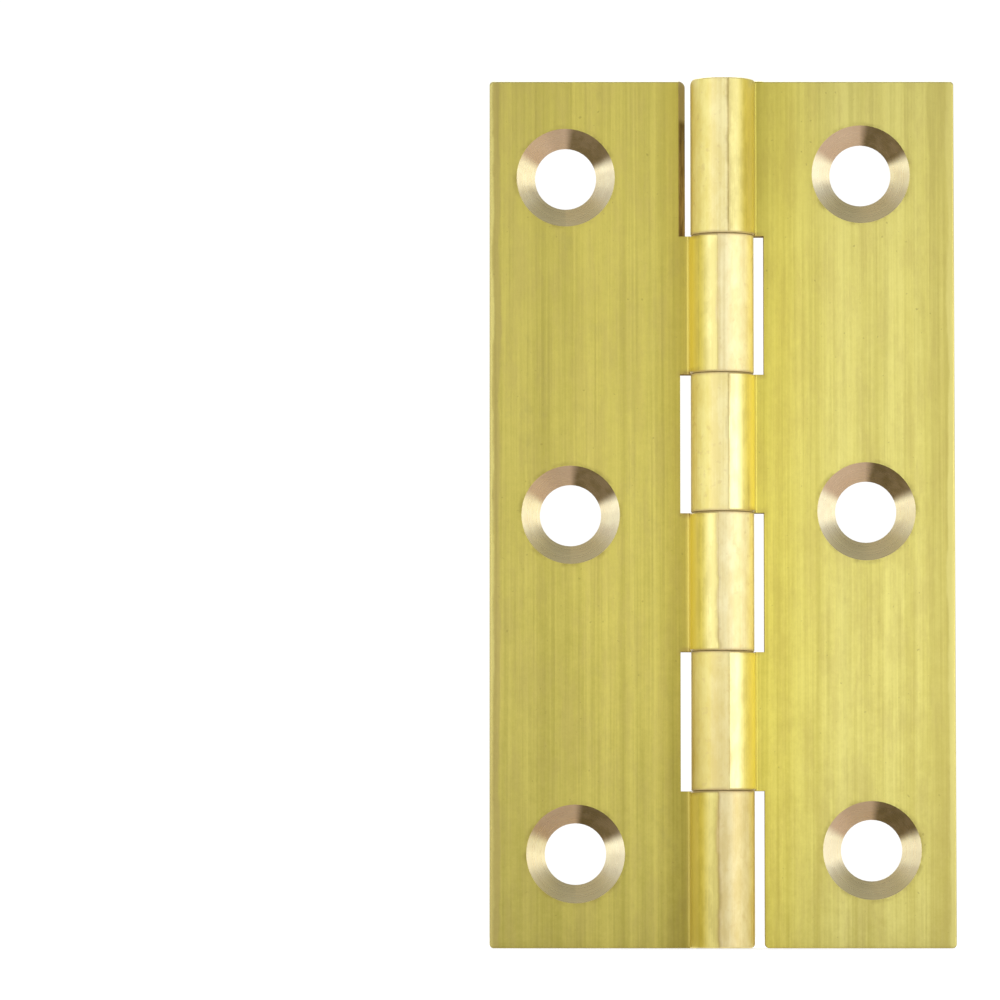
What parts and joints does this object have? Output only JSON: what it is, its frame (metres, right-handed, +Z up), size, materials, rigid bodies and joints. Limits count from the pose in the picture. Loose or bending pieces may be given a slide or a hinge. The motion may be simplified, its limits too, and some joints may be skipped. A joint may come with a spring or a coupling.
{
  "type": "butt hinge",
  "caption": "Solid drawn brass butt hinge, opened flat: two leaves with countersunk screw holes and meshing knuckles that swing on a fixed pin.",
  "frame": {"origin": "on the pin's axis, at half the height of the hinge", "axes": "+Z up along the pin, X across the two leaves as they lie open flat, -Y towards the viewer of the countersunk faces"},
  "size_m": [0.0402, 0.0056, 0.075],
  "materials": {
    "drawn_brass": "bright drawn, with fine draw lines along the leaf and paler machined holes and knuckles",
    "pin_brass": "bright drawn rod with hammered ends"
  },
  "bodies": {
    "fixed_leaf": {"right_leaf": "drawn_brass", "hinge_pin": "pin_brass"},
    "swinging_leaf": {"left_leaf": "drawn_brass"}
  },
  "joints": [
    {"name": "leaf_swing", "type": "hinge", "parent": "fixed_leaf", "child": "swinging_leaf", "pos_m": [0, 0, 0], "axis": [0, 0, 1], "range_deg": [-110, 180]}
  ]
}
